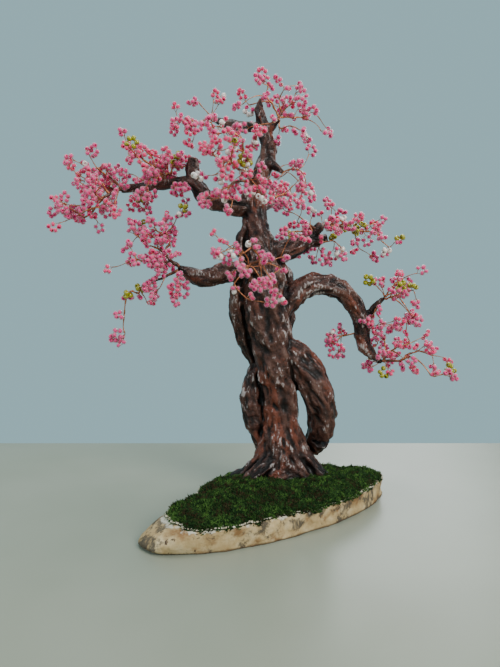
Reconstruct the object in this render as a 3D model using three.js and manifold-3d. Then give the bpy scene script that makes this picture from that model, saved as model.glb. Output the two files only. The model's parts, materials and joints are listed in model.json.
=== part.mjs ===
// A bonsai cherry in blossom, made by hand: bundled wire limbs coated in paste and painted as
// bark, sprays of glass beads twisted onto copper wire, and a mossed slice of birch log to stand on.
// Millimetres, +Z up. The origin is on the slice's flat underside, straight below the trunk's foot,
// +X runs to the tree's right and +Y away from its front.
import * as THREE from 'three';
import { mergeVertices } from 'three/addons/utils/BufferGeometryUtils.js';
import Module from 'manifold-3d';

const wasm = await Module();
wasm.setup();

// ---- driving dimensions --------------------------------------------------------------------
const GAP = 0.35; // air left between neighbouring solids
const SLICE_HEIGHT = 9.5; // birch slice, underside to the top of its wood
const SLICE_RIM = 1.6; // width of bare wood left outside the moss
const BEVELLED_TIP = 11; // how far the slanting cut pulls the slice's left tip in at its top
const MOSS_HEIGHT = 2.6; // moss above the wood, at its edge
const MOSS_SWELL = 1.6; // how much higher the moss stands towards the middle
const OUTLINE_CORNERS = 25;
const LIMB_SIDES = 7;
const TOE_SIDES = 5;
const TRUNK_SIDES = 12;
const SPRAY_SIDES = 4;
const SPRAY_FULLNESS = 1.3; // how much wider a lobe is than its loops of beads, so that neighbours join
const LUMP = 0.07; // unevenness of the paste, as a share of a limb's radius
const SPRAY_DOME = 0.5; // height of the rounded end of a spray's lobe, as a share of its end radius
const SPRAY_LUMP = 0.2; // unevenness of a blossom mass, as a share of its radius

// Plan of the slice halfway up, anticlockwise from its right tip.
const SLICE_PLAN = [
  [51, 8], [35, 15], [15, 18.5], [-7, 16.5], [-29, 4], [-43, -14], [-55, -35], [-66, -49],
  [-60, -59], [-42, -62], [-24, -57], [-6, -49], [13, -38], [28, -26], [42, -10],
];

const SLICE_MIDDLE = new THREE.Vector3(-5, -20, 0);
const BELOW_CUT = 60; // size of the block that trims the trunk's foot flat

// Stations of a limb: x, y, z of its middle, its radius and, where it isn't round, its width
// as a multiple of its depth.
const TRUNK = [
  [-1, 0, SLICE_HEIGHT + GAP, 14, 1.34], [-1.2, 0, 17.5, 11.8, 1.26], [-1.8, 0, 27, 10.4, 1.1],
  [-2.9, 0, 40, 8.6], [-3.4, 0, 55, 8.7], [-5.3, -1, 70, 9.3], [-8.2, -1, 85, 10.2],
  [-10.7, -1, 99, 11.4], [-11.8, -1, 110, 11.2], [-12.6, 0, 120, 9], [-14, 0, 132, 6.8],
  [-16.1, 0, 143, 5.9], [-15.2, 0, 151, 4.8], [-12.8, 1, 158, 4.1], [-9.2, 2, 166, 3.9],
  [-8.8, 2, 172, 3.8], [-11, 2, 180, 2.9], [-13, 1, 189, 2.2], [-12.5, 1, 194.5, 0.6],
];

// Root toes: where each one leaves the trunk's flare and where it dives into the moss.
const TOES = [
  [[5, -2, 24, 6], [14, -4, 15.5, 4.2], [24, -6, 10, 2.4]],
  [[6, 4, 20, 6], [13, 8, 13.5, 3.6], [18, 9, 10, 2.4]],
  [[3, -4, 21, 6], [7, -8, 14, 5], [9, -10, 10, 4.2]],
  [[-5, -4, 22, 6.5], [-13, -7.5, 15, 5.2], [-20, -10, 10, 4.2]],
  [[-8, -2, 22, 6], [-17, -3, 14.5, 4], [-27, -4, 10.5, 3]],
  [[-8, 3, 20, 5], [-14, 6, 13.5, 3.6], [-19, 6, 10, 2.4]],
];

// The other limbs, each one after the limb that it leaves.
const LIMBS = {
  root_strand_left_upper: [
    [-19, -3, 112, 3], [-23.6, -3, 104, 3.6], [-24, -1, 93, 3.9], [-21, 2, 81, 4],
    [-15.5, 5, 69, 3.2], [-12, 6, 61, 2.4],
  ],
  root_strand_left_lower: [
    [-9, 5, 74, 3], [-14.2, 4, 63, 5], [-17.2, 3, 51, 5.8], [-14.8, 3, 38, 5.6],
    [-10.5, 4, 27, 5], [-9, 6, 18, 4],
  ],
  root_loop_outer: [
    [-3, -1, 78, 5], [5.8, -2, 71, 7.3], [12, -2, 62, 8.4], [16.6, -2, 51.5, 7.6],
    [18.8, 0.5, 41, 6.9], [18.3, 4, 31, 7.3],
  ],
  root_loop_inner: [
    [17.9, 4.6, 29.6, 7], [14.5, 9.5, 23.9, 5.8], [7.6, 13, 20.9, 4.6], [-1.5, 14, 21, 4.2],
    [-9, 10.5, 25, 3.6],
  ],
  back_strand: [
    [-6, 5, 120, 2.5], [1, 8, 111, 3], [1.6, 8, 98, 3], [2, 7, 87, 3], [0, 4, 77, 2.6],
  ],
  side_strand_left: [
    [-16.4, -1, 136, 1.8], [-22.6, -3, 129, 2], [-22.4, -3, 122, 2.2], [-18.5, -3, 115, 2.4],
  ],
  bough_upper_left: [
    [-15.5, 0, 143, 4.4], [-24, -4, 142.8, 4.3], [-34, -8, 144, 4], [-39.6, -9, 148, 3.9],
    [-43, -9, 153.5, 3.5], [-44.4, -9, 159.5, 3], [-43.6, -9, 164.5, 2],
  ],
  bough_upper_left_tip: [
    [-42, -9, 154, 2.9], [-50, -8, 153.8, 2.6], [-58, -6, 152.8, 2.4], [-68, -4, 152.4, 2.1],
    [-78.5, -3, 151, 1.8],
  ],
  dead_branch: [
    [-12, 2, 180.8, 2.4], [-20, 3, 181.5, 2.5], [-26, 5, 183, 2.4], [-32, 8, 185.3, 1.9],
    [-37, 10, 187.7, 0.6],
  ],
  fork_right: [[-10.5, 2, 178, 2.1], [-6.6, 1, 181.5, 2], [-3.8, 0, 184.6, 1.4]],
  stub_right: [[-9.5, 1, 165, 2.4], [-4.8, -3, 161.2, 1.7], [-2, -6, 158.7, 0.9]],
  bough_right: [
    [-10.5, 0, 119.5, 6.4], [-1.5, 2, 122.6, 5.6], [5.5, 4, 124.9, 4.7], [11.5, 5.2, 128, 3.8],
  ],
  bough_right_upper_tip: [[9, 4.7, 126.8, 3.2], [14, 7, 132, 2.5], [17.6, 8, 135.8, 1.8]],
  bough_right_lower_tip: [[10, 5, 126.6, 3], [16, 6, 128, 2.4], [20.4, 6, 129.3, 1.6]],
  bough_lower_left: [
    [-14, -1, 112.6, 5.6], [-28, -7, 112.2, 5], [-35, -10, 110.2, 4.8], [-40.8, -12, 109, 4],
    [-45.2, -14, 111.6, 3], [-50.3, -16, 114, 1.8],
  ],
  arch_rise: [
    [-6, 0, 91.5, 7.4], [1.5, 0, 100.2, 6.4], [7, 1, 104.2, 5.4], [13.3, 2, 106.6, 5],
    [20.8, 3, 106.4, 5.2], [27.6, 4, 103.4, 4.9],
  ],
  arch_fall: [
    [26.6, 4, 104, 4.8], [34, 5, 97.3, 4.5], [37.6, 5, 89.8, 4], [38, 5, 81.8, 3.7],
    [39.5, 5, 75.3, 3.2], [44, 5, 70.8, 2.2], [48.5, 5, 67.6, 1.2],
  ],
  arch_twig: [[37.4, 5, 86, 2], [42.8, 4, 93.8, 1.6], [45.5, 3, 97.3, 1.4], [48.2, 2, 100, 1.1]],
  front_stub_upper: [[-15, -1, 152.6, 2.8], [-15.8, -8, 155, 2.1], [-17, -13.4, 155.7, 1.4]],
  front_stub_lower: [[-13.6, -2, 112, 4], [-17, -14, 114.3, 2.8], [-19, -20.4, 115.2, 1.7]],
  back_bough_upper: [[-14.6, 1, 142, 3.8], [-11.6, 10, 145, 3.2], [-7, 20, 148, 1.8]],
  back_bough_lower: [[-11, 3, 117, 4.6], [-5.5, 13, 121.5, 3.8], [2, 22.4, 126, 2]],
};

// Blossom masses: the limb tip each one grows from, and its sprays as dx, dy, dz from there
// with the radius that its loops of beads fill.
const MASSES = {
  blossom_crown: [[-4, 0, 185], [
    [-18, 4, 10, 4], [-8, -5, 15, 4.4], [2, 4, 17.5, 4.2], [10, -4, 11, 4.6], [16, 6, 4, 5.4],
    [26, 1, -9, 2.4], [5, 14, 11, 4.8],
  ]],
  blossom_top_left: [[-36, 9, 187], [
    [1, -4, 9, 4], [-9, 2, 8, 4], [-17, -7, -5, 4.2], [-8, -9, -7, 4.5], [10, 4, 8, 2.8],
    [2, -13, -11, 4.4],
  ]],
  blossom_centre: [[-17, -13, 156], [
    [3, -13, 17, 3.3], [-7, -12, 15, 4.6], [-18, -22, 6, 4.6], [-11, -27, 0, 4.8],
    [-2, -19, 5, 4.6], [-12, -28, -12, 3.3], [-5, -23, -10, 3],
  ]],
  blossom_centre_hanging: [[-23, -36, 146], [[-3, -9, -11, 2.4]]],
  blossom_right_upper: [[-2, -6, 159], [
    [8, 0, 5, 3.8], [15, 2, 10, 2.4], [13, -4, -1, 2.8], [17, -6, -10, 2.4], [3, -8, -8, 3.9],
    [-6, -12, -9, 3.8], [6, 12, 4, 3.6],
  ]],
  blossom_left_inner: [[-56, -6, 155], [
    [9, -6, 8, 3.9], [-1, 5, 12, 4], [-12, 0, 12, 4.2], [-20, 3, 17, 3.6], [-7, -10, 2, 4.2],
    [7, -10, -6, 3.8], [-8, 16, 9, 4.6],
  ]],
  blossom_left_outer: [[-79, -3, 151], [
    [-24, -1, 15, 3], [-10, 2, 12, 4.8], [-19, -5, 3, 4.8], [-27, -7, -18, 2.8],
    [-14, -11, -8, 4.1], [-8, -1, -6, 3.9], [-14, 14, 6, 5],
  ]],
  blossom_left_hanging: [[-67, -4, 150], [[-3, -4, -6, 2.3], [6, 2, -8, 2.4], [1, -2, -14, 2.5]]],
  blossom_lower_left: [[-50, -16, 114], [
    [-7, 0, 21, 3.6], [-15, -9, 16, 3.6], [-23, -3, 17, 3.4], [-30, -2, 3, 2.6],
    [-18, -11, 2, 4.6], [-4, -10, 6, 4.2], [-22, -4, -13, 4.2], [-12, -10, -15, 3.2],
    [-14, 11, 3, 4.2],
  ]],
  blossom_lower_left_high: [[-52, -16, 134], [[5, -4, 7, 2.8]]],
  blossom_lower_left_tail: [[-73, -19, 102], [[-8, 3, -9, 2.3], [-2, -1, -23, 2.5]]],
  blossom_front: [[-19, -20, 115], [
    [-12, -18, 5, 3.6], [-4, -25, 7, 3.4], [5, -21, 11, 3.6], [-2, -33, -1, 3.6],
    [11, -30, 0, 3.2], [4, -33, -7, 2.6], [12, -26, -14, 2.8], [17, -16, -8, 2.4],
  ]],
  blossom_right_mid: [[18, 8, 133], [
    [-16, -6, 4, 3.6], [-20, -17, -4, 4], [0, 4, 9, 3.3], [10, 0, 10, 4], [12, -12, 0, 4.8],
    [13, -7, -15, 3.2], [14, 14, 1, 4.8],
  ]],
  blossom_right_end: [[32, 8, 134], [
    [8, 0, 5, 3.7], [17, -3, 4, 3.4], [13, -4, -3, 5], [24, -4, -13, 2.8], [6, 3, -8, 4.2],
  ]],
  blossom_arch_upper: [[48, 2, 100], [
    [-7, -2, 7, 3], [0, 4, 8, 3.4], [10, 0, 13, 3.6], [17, -2, 5, 3.1], [6, -8, 3, 4],
    [22, -2, -13, 2.5], [12, 9, 3, 3.8],
  ]],
  blossom_arch_inner: [[32.5, 6, 80], [[-6, 6, 5, 2.8], [-9, 10, -1, 2.6], [-3, 8, -11, 2.4]]],
  blossom_arch_end: [[49, 5, 68], [
    [-5, -5, 20, 3], [3, 2, 14, 4.2], [-4, -11, 7, 3.5], [14, 0, 14, 4.2], [22, -3, 9, 4.5],
    [13, -9, 4, 4.5], [3, -3, -5, 3.6], [32, -5, -5, 2.5], [13, 12, 6, 4.7],
  ]],
  blossom_back_upper: [[-7, 20, 148], [
    [-5, 14, 9, 5], [6, 20, 12, 5], [15, 12, 9, 5], [9, 28, 5, 5.4],
  ]],
  blossom_back_lower: [[2, 22, 126], [
    [-3, 16, 7, 4.8], [9, 11, 6, 5], [6, 6, -6, 3.8], [11, 22, 0, 4.8],
  ]],
};

// ---- solids --------------------------------------------------------------------------------

/** Smooth unevenness between -1 and 1 that depends only on the place. */
function uneven(x, y, z, size) {
  return (Math.sin(x / size + 1.3 * Math.sin(y / size))
    + Math.sin(1.1 * y / size + 1.7 * Math.sin(0.9 * z / size))
    + Math.sin(1.2 * z / size + 1.1 * Math.sin(x / size))) / 3;
}

/** The closed solid through a stack of rings of equally many corners; `dome` bulges its last end. */
function throughRings(rings, dome = new THREE.Vector3()) {
  const corners = rings[0].length;
  const last = (rings.length - 1) * corners;
  const points = rings.flat();
  const foot = points.length;
  const head = foot + 1;
  const faces = [];
  for (let j = 0; j < corners; j += 1) {
    const k = (j + 1) % corners;
    for (let start = 0; start < last; start += corners) {
      const next = start + corners;
      faces.push(start + j, start + k, next + k, start + j, next + k, next + j);
    }
    faces.push(foot, k, j, head, last + j, last + k);
  }
  for (const ring of [rings[0], rings.at(-1)]) {
    points.push(ring.reduce((sum, p) => sum.add(p), new THREE.Vector3()).divideScalar(corners));
  }
  points[head].add(dome);
  return toSolid(new THREE.BufferGeometry().setFromPoints(points).setIndex(faces));
}

/** A closed geometry as a solid that can be joined and cut. */
function toSolid(geometry) {
  const merged = mergeVertices(geometry);
  return new wasm.Manifold(new wasm.Mesh({
    numProp: 3,
    vertProperties: new Float32Array(merged.attributes.position.array),
    triVerts: new Uint32Array(merged.index.array),
  }));
}

/** Rings of corners round a smooth path through the stations, each ring square to the path. */
function limb(stations, { sides = LIMB_SIDES, lump = LUMP, grow = 0, turn = 0, dome = 0 } = {}) {
  const path = new THREE.CatmullRomCurve3(stations.map(([x, y, z]) => new THREE.Vector3(x, y, z)));
  const across = new THREE.Vector3(1, 0, 0);
  const ends = stations.length - 1;
  const first = path.getTangent(0);
  if (Math.abs(first.x) > 0.8) across.set(0, 0, 1);
  const rings = stations.map(([, , , radius, widen = 1], i) => {
    const along = path.getTangent(i / ends);
    across.addScaledVector(along, -across.dot(along)).normalize();
    const up = along.clone().cross(across);
    const middle = path.getPoint(i / ends);
    if (i === 0) middle.addScaledVector(along, -grow);
    if (i === ends) middle.addScaledVector(along, grow);
    return Array.from({ length: sides }, (_, j) => {
      const angle = 2 * Math.PI * (j + turn) / sides;
      const arm = across.clone().multiplyScalar(Math.cos(angle) * widen);
      arm.addScaledVector(up, Math.sin(angle));
      const spot = middle.clone().addScaledVector(arm, radius);
      const reach = radius * (1 + lump * uneven(spot.x, spot.y, spot.z, radius)) + grow;
      return middle.clone().addScaledVector(arm, reach);
    });
  });
  return throughRings(rings, path.getTangent(1).multiplyScalar(dome * stations.at(-1)[3]));
}

/** The trunk with its root toes, cut flat just above the wood of the slice. */
function trunk(grow = 0) {
  const whole = TOES.reduce(
    (solid, toe) => solid.add(limb(toe, { sides: TOE_SIDES, grow })),
    limb(TRUNK, { sides: TRUNK_SIDES, grow }),
  );
  const square = (z) => [[-1, -1], [1, -1], [1, 1], [-1, 1]]
    .map(([x, y]) => new THREE.Vector3(x * BELOW_CUT, y * BELOW_CUT, z));
  return whole.subtract(throughRings([square(-BELOW_CUT), square(SLICE_HEIGHT + GAP - grow)]));
}

/** The slice's plan as a ring of corners, drawn in by `inset` towards its middle. */
function planRing(inset) {
  const plan = new THREE.CatmullRomCurve3(SLICE_PLAN.map(([x, y]) => new THREE.Vector3(x, y, 0)), true);
  return plan.getPoints(OUTLINE_CORNERS).slice(0, -1).map((p) => {
    const arm = p.clone().sub(SLICE_MIDDLE);
    return p.addScaledVector(arm, -inset / arm.length());
  });
}

/** A ring of the slice or its moss at height z, its left tip pulled in by the slanting cut. */
function edgeRing(inset, z) {
  const tip = z / SLICE_HEIGHT * BEVELLED_TIP;
  return planRing(inset).map((p) => {
    const share = THREE.MathUtils.smoothstep(-p.x, 38, 62);
    const bumpy = 0.5 * uneven(p.x, p.y, z, 4);
    return new THREE.Vector3(p.x + tip * share + bumpy, p.y + tip * share * 0.5 + bumpy, z);
  });
}

/** The slice of birch log: flat below and above, its bark nearly upright. */
function slice() {
  return throughRings([
    edgeRing(0.5, 0), edgeRing(-0.4, 1.2), edgeRing(0, 5), edgeRing(0.4, 8.6), edgeRing(1, SLICE_HEIGHT),
  ]);
}

/** The bed of moss, swelling towards the middle, with the trunk's foot left out of it. */
function moss() {
  const floor = SLICE_HEIGHT + GAP;
  const edge = SLICE_HEIGHT + MOSS_HEIGHT;
  const rings = [
    edgeRing(SLICE_RIM, floor), edgeRing(SLICE_RIM - 0.4, floor + 1.2), edgeRing(SLICE_RIM + 1.4, edge),
    edgeRing(SLICE_RIM + 10, edge + MOSS_SWELL),
  ];
  for (const p of rings.slice(2).flat()) {
    p.z += 0.5 * uneven(p.x, p.y, 0, 3);
  }
  return throughRings(rings).subtract(trunk(GAP));
}

/** A blossom mass: lobes along every spray, from the limb's tip outwards, all one solid. */
function mass([root, sprays], grow = 0) {
  const start = new THREE.Vector3(...root);
  const lobes = sprays.map(([dx, dy, dz, radius], i) => {
    const reach = new THREE.Vector3(dx, dy, dz);
    const at = (share) => start.clone().addScaledVector(reach, share);
    const past = 1 + 0.45 * radius / reach.length();
    const arch = (share) => {
      const spot = at(share);
      return [spot.x, spot.y, spot.z + 0.25 * radius * Math.sin(Math.PI * share)];
    };
    const full = SPRAY_FULLNESS * radius;
    const stations = [
      [...arch(-0.04), 0.35 * full], [...arch(0.75), full], [...at(past).toArray(), 0.7 * full],
    ];
    const turn = i / sprays.length;
    return limb(stations, { sides: SPRAY_SIDES, lump: SPRAY_LUMP, grow, turn, dome: SPRAY_DOME });
  });
  return lobes.reduce((whole, lobe) => whole.add(lobe));
}

/** The largest closed body of a solid, without the crumbs that a cut leaves beside it. */
function largestBody(solid) {
  const { vertProperties, triVerts } = solid.getMesh();
  const parent = Int32Array.from({ length: vertProperties.length / 3 }, (_, i) => i);
  const find = (i) => {
    while (parent[i] !== i) i = parent[i] = parent[parent[i]];
    return i;
  };
  for (let t = 0; t < triVerts.length; t += 3) {
    parent[find(triVerts[t])] = find(triVerts[t + 1]);
    parent[find(triVerts[t + 1])] = find(triVerts[t + 2]);
  }
  const bodies = new Map();
  for (let t = 0; t < triVerts.length; t += 3) {
    const body = find(triVerts[t]);
    bodies.set(body, [...(bodies.get(body) ?? []), ...triVerts.slice(t, t + 3)]);
  }
  const faces = [...bodies.values()].sort((a, b) => b.length - a.length)[0];
  const geometry = new THREE.BufferGeometry();
  geometry.setAttribute('position', new THREE.Float32BufferAttribute(vertProperties, 3));
  return geometry.setIndex(faces);
}

// ---- finishes ------------------------------------------------------------------------------
const finish = (color, roughness) => new THREE.MeshStandardMaterial({ color, roughness, metalness: 0 });
const paintedBark = () => finish(0x4b3029, 0.45);
const birchBark = () => finish(0xb8a98c, 0.85);
const mossGreen = () => finish(0x25401c, 0.95);
const pinkBeads = () => finish(0xc9647f, 0.25);

// ---- the tree ------------------------------------------------------------------------------
const tree = new THREE.Group();

/** Adds a solid to the tree as a named mesh of its own. */
function place(name, solid, material) {
  const mesh = new THREE.Mesh(largestBody(solid), material);
  mesh.name = name;
  tree.add(mesh);
}

place('slice', slice(), birchBark());
place('moss', moss(), mossGreen());
place('trunk', trunk(), paintedBark());

// Each limb is cut where it meets the limbs before it, and each mass where it meets limbs and masses.
const grown = [trunk(GAP)];
for (const [name, stations] of Object.entries(LIMBS)) {
  place(name, grown.reduce((left, other) => left.subtract(other), limb(stations)), paintedBark());
  grown.push(limb(stations, { grow: GAP }));
}
for (const [name, form] of Object.entries(MASSES)) {
  place(name, grown.reduce((left, other) => left.subtract(other), mass(form)), pinkBeads());
  grown.push(mass(form, GAP));
}

export default tree;
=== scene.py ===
"""A bonsai cherry in blossom made of wire and glass beads, on a mossed slice of birch log."""
import json
import math

import bpy
import numpy as np
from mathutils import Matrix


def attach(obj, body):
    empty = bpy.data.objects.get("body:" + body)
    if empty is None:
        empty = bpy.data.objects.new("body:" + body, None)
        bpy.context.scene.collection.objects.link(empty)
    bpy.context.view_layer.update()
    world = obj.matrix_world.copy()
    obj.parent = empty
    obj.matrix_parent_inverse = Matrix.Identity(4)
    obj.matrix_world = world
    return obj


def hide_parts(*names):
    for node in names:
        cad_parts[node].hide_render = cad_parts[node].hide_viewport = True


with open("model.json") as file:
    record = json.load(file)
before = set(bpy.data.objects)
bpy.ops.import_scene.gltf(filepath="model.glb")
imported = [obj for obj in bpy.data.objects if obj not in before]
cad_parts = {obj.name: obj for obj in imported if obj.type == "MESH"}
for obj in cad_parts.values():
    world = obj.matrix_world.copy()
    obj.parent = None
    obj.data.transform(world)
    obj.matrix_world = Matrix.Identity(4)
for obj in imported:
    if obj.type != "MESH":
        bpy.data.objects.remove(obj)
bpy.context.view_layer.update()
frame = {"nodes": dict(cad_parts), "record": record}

MM = 0.001
CAMERA_PLACE = (-17.5 * MM, -272.8 * MM, 106.4 * MM)
CAMERA_DIP = math.radians(85)
CAMERA_LENS = 30.2
TABLE_BACK = 99 * MM
TABLE_REACH = 1.6
TABLE_THICK = 28 * MM
TABLE_EDGE = 3 * MM
# Each light: its place, its width in metres, its power in watts and its tint.
LIGHTS = {
    "window_right": ((0.46, -0.46, 0.46), 0.34, 5.0, (1.0, 0.985, 0.96)),
    "window_left": ((-0.60, -0.40, 0.36), 0.36, 2.0, (0.93, 0.97, 1.0)),
    "ceiling": ((0.02, 0.10, 0.85), 0.60, 4.2, (1.0, 1.0, 1.0)),
    "behind": ((0.25, 0.75, 0.40), 0.45, 2.0, (0.95, 0.98, 1.0)),
}
LIGHT_AIM = np.array([0.0, 0.0, 0.09])
ROOM = (0.315, 0.505, 0.55)


class Tap:
    """A node's output. Arithmetic on it adds Math nodes, and node() adds any other node."""

    def __init__(self, tree, output=None):
        self.tree = tree
        self.output = output

    def node(self, kind, sockets, output=0, **settings):
        """Adds a node: its settings first, then the values or links of its sockets."""
        made = self.tree.nodes.new("ShaderNode" + kind)
        for name, value in settings.items():
            if name == "stops":
                first = made.color_ramp.elements[0]
                made.color_ramp.elements.remove(made.color_ramp.elements[1])
                for place, colour in value:
                    made.color_ramp.elements.new(place).color = (*colour, 1.0)
                made.color_ramp.elements.remove(first)
            else:
                setattr(made, name, value)
        for name, value in sockets.items():
            if isinstance(value, Tap):
                self.tree.links.new(value.output, made.inputs[name])
            elif isinstance(value, tuple) and made.inputs[name].type == "RGBA":
                made.inputs[name].default_value = (*value, 1.0)
            else:
                made.inputs[name].default_value = value
        return Tap(self.tree, made.outputs[output] if made.outputs else None)

    def maths(self, operation, first, second):
        return self.node("Math", {0: first, 1: second}, operation=operation)

    def __add__(self, other):
        return self.maths("ADD", self, other)

    def __radd__(self, other):
        return self.maths("ADD", other, self)

    def __sub__(self, other):
        return self.maths("SUBTRACT", self, other)

    def __rsub__(self, other):
        return self.maths("SUBTRACT", other, self)

    def __mul__(self, other):
        return self.maths("MULTIPLY", self, other)

    def __rmul__(self, other):
        return self.maths("MULTIPLY", other, self)

    def noise(self, scale, detail=4.0, roughness=0.55, stretch=(1.0, 1.0, 1.0), turn=(0.0, 0.0, 0.0)):
        """Cloudy values from 0 to 1 at this place, in cells 1/scale wide, after a turn and a stretch."""
        place = self.node("Mapping", {"Vector": self, "Rotation": turn, "Scale": stretch})
        return self.node(
            "TexNoise", {"Vector": place, "Scale": scale, "Detail": detail, "Roughness": roughness}
        )

    def ramp(self, *stops):
        """The colour that these (place, colour) stops give this value."""
        return self.node("ValToRGB", {"Fac": self}, stops=stops)

    def step(self, low, high):
        """0 below `low`, 1 above `high` and smooth between."""
        return self.node(
            "MapRange", {"Value": self, "From Min": low, "From Max": high}, interpolation_type="SMOOTHSTEP"
        )

    def between(self, first, second):
        """Mixes two colours by this value."""
        return self.node("Mix", {0: self, 6: first, 7: second}, output=2, data_type="RGBA")


def paint(name):
    """A new material and the Tap of its Object coordinates, to start its nodes from."""
    material = bpy.data.materials.new(name)
    material.use_nodes = True
    material.node_tree.nodes.clear()
    start = Tap(material.node_tree)
    return material, start.node("TexCoord", {}, output="Object")


def finish_paint(material, place, bump=None, bump_depth=0.0, **sockets):
    """Ends a material in one Principled shader; `bump` is a height in units of bump_depth metres."""
    named = {key.replace("_", " "): value for key, value in sockets.items()}
    if bump is not None:
        named["Normal"] = place.node("Bump", {"Height": bump, "Distance": bump_depth, "Strength": 1.0})
    surface = place.node("BsdfPrincipled", named)
    place.node("OutputMaterial", {"Surface": surface})
    return material


def add_mesh(name, points, *faces, smooth=True):
    """A mesh object from an array of points and arrays of faces with equally many corners each."""
    mesh = bpy.data.meshes.new(name)
    corners = np.concatenate([part.ravel() for part in faces]).astype(np.int32)
    sizes = np.concatenate([np.full(len(part), part.shape[1]) for part in faces])
    mesh.vertices.add(len(points))
    mesh.vertices.foreach_set("co", np.ascontiguousarray(points, dtype=np.float32).ravel())
    mesh.loops.add(len(corners))
    mesh.loops.foreach_set("vertex_index", corners)
    mesh.polygons.add(len(sizes))
    mesh.polygons.foreach_set("loop_start", (np.cumsum(sizes) - sizes).astype(np.int32))
    mesh.polygons.foreach_set("use_smooth", np.full(len(sizes), smooth))
    mesh.update(calc_edges=True)
    mesh.validate()
    made = bpy.data.objects.new(name, mesh)
    bpy.context.scene.collection.objects.link(made)
    return made


camera = bpy.data.objects.new("camera", bpy.data.cameras.new("camera"))
camera.location = CAMERA_PLACE
camera.rotation_euler = (CAMERA_DIP, 0.0, 0.0)
camera.data.lens = CAMERA_LENS
camera.data.sensor_width = 36.0
camera.data.clip_start = 0.01
bpy.context.scene.collection.objects.link(camera)
bpy.context.scene.camera = camera

for light_name, (spot, size, power, tint) in LIGHTS.items():
    lamp = bpy.data.objects.new(light_name, bpy.data.lights.new(light_name, "AREA"))
    lamp.data.shape = "DISK"
    lamp.data.size = size
    lamp.data.energy = power
    lamp.data.color = tint
    aim = np.array(spot) - LIGHT_AIM
    lamp.location = spot
    lamp.rotation_euler = (
        math.atan2(math.hypot(aim[0], aim[1]), aim[2]), 0.0, math.atan2(aim[1], aim[0]) + math.pi / 2
    )
    bpy.context.scene.collection.objects.link(lamp)

room = bpy.data.worlds.new("room")
room.use_nodes = True
room.node_tree.nodes["Background"].inputs["Color"].default_value = (*ROOM, 1.0)
room.node_tree.nodes["Background"].inputs["Strength"].default_value = 1.0
bpy.context.scene.world = room

table_paint, place = paint("pale_table")
haze = place.noise(18.0, detail=2.0)
finish_paint(
    table_paint, place, Base_Color=haze.ramp((0.3, (0.258, 0.268, 0.204)), (0.7, (0.283, 0.292, 0.228))),
    Roughness=0.32, Specular_IOR_Level=0.35,
)
table_x, table_y, table_z = np.meshgrid(
    [-TABLE_REACH, TABLE_REACH], [-TABLE_REACH, TABLE_BACK], [-TABLE_THICK, 0.0]
)
corners = np.stack([table_x.ravel(), table_y.ravel(), table_z.ravel()], 1)
sides = np.array([[0, 2, 6, 4], [1, 5, 7, 3], [0, 1, 3, 2], [4, 6, 7, 5], [0, 4, 5, 1], [2, 3, 7, 6]])
table = add_mesh("table_top", corners, sides, smooth=False)
eased = table.modifiers.new("eased edge", "BEVEL")
eased.width = TABLE_EDGE
eased.segments = 3
table.data.materials.append(table_paint)

# ---- The slice of birch ----------------------------------------------------------------------
# A slanting slice of a birch log, sawn flat below. Its thin bark is cream, stained tan and grey,
# with dark scars and a torn, papery top edge. The slanting cut leaves a broad blunt tip on the left.
SLICE_STEPS = 36
SLICE_ROWS = 34
EDGE_SOFT = 0.7 * MM
LID_MIDDLE = 9 * MM
BARK_SWELL = 0.55 * MM
BARK_FLAKE = 0.30 * MM
BARK_SCAR = 0.35 * MM
LID_RINGS = (0.985, 0.95, 0.85, 0.65, 0.35, 0.1)
LID_DROP = 0.2 * MM
LID_ROUGH = 0.25 * MM
TIP_BELLY = 2.4 * MM
TIP_FROM = -28 * MM
TIP_TO = -56 * MM
TIP_TUCK = 2.4 * MM


def lattice(points, size, seed=0):
    """Smooth random values from -1 to 1. Each corner of a lattice of cells `size` wide has a random
    value of its own, and a point takes its cell's eight, weighted by 3t^2 - 2t^3 along each side."""
    scaled = points / size + 1000.0
    cell = np.floor(scaled).astype(np.int64)
    share = scaled - cell
    share = share * share * (3.0 - 2.0 * share)
    total = np.zeros(len(points))
    for corner in np.ndindex(2, 2, 2):
        at = cell + np.array(corner)
        mixed = at[:, 0] * 374761393 + at[:, 1] * 668265263 + at[:, 2] * 1442695041 + seed * 974711
        mixed = (mixed ^ (mixed >> 13)) * 1274126177 & 0x7FFFFFFF
        value = ((mixed ^ (mixed >> 16)) & 0xFFFF) / 32767.5 - 1.0
        weight = np.where(corner, share, 1.0 - share).prod(1)
        total += value * weight
    return total


def cloud(points, size, layers=4, seed=0):
    """Lattice values added up, each layer half as wide and 0.55 as strong as the one before."""
    return sum(0.55**k * lattice(points, size / 2**k, seed + k) for k in range(layers))


def node_shape(name):
    """A CAD node's merged points and its triangles."""
    mesh = frame["nodes"][name].data
    loose = np.empty(len(mesh.vertices) * 3, dtype=np.float32)
    mesh.vertices.foreach_get("co", loose)
    mesh.calc_loop_triangles()
    corners = np.empty(len(mesh.loop_triangles) * 3, dtype=np.int32)
    mesh.loop_triangles.foreach_get("vertices", corners)
    _, first, merged = np.unique(
        np.round(loose.reshape(-1, 3), 6), axis=0, return_index=True, return_inverse=True
    )
    triangles = merged.ravel()[corners].reshape(-1, 3)
    return loose.reshape(-1, 3)[first].astype(float), triangles


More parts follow.
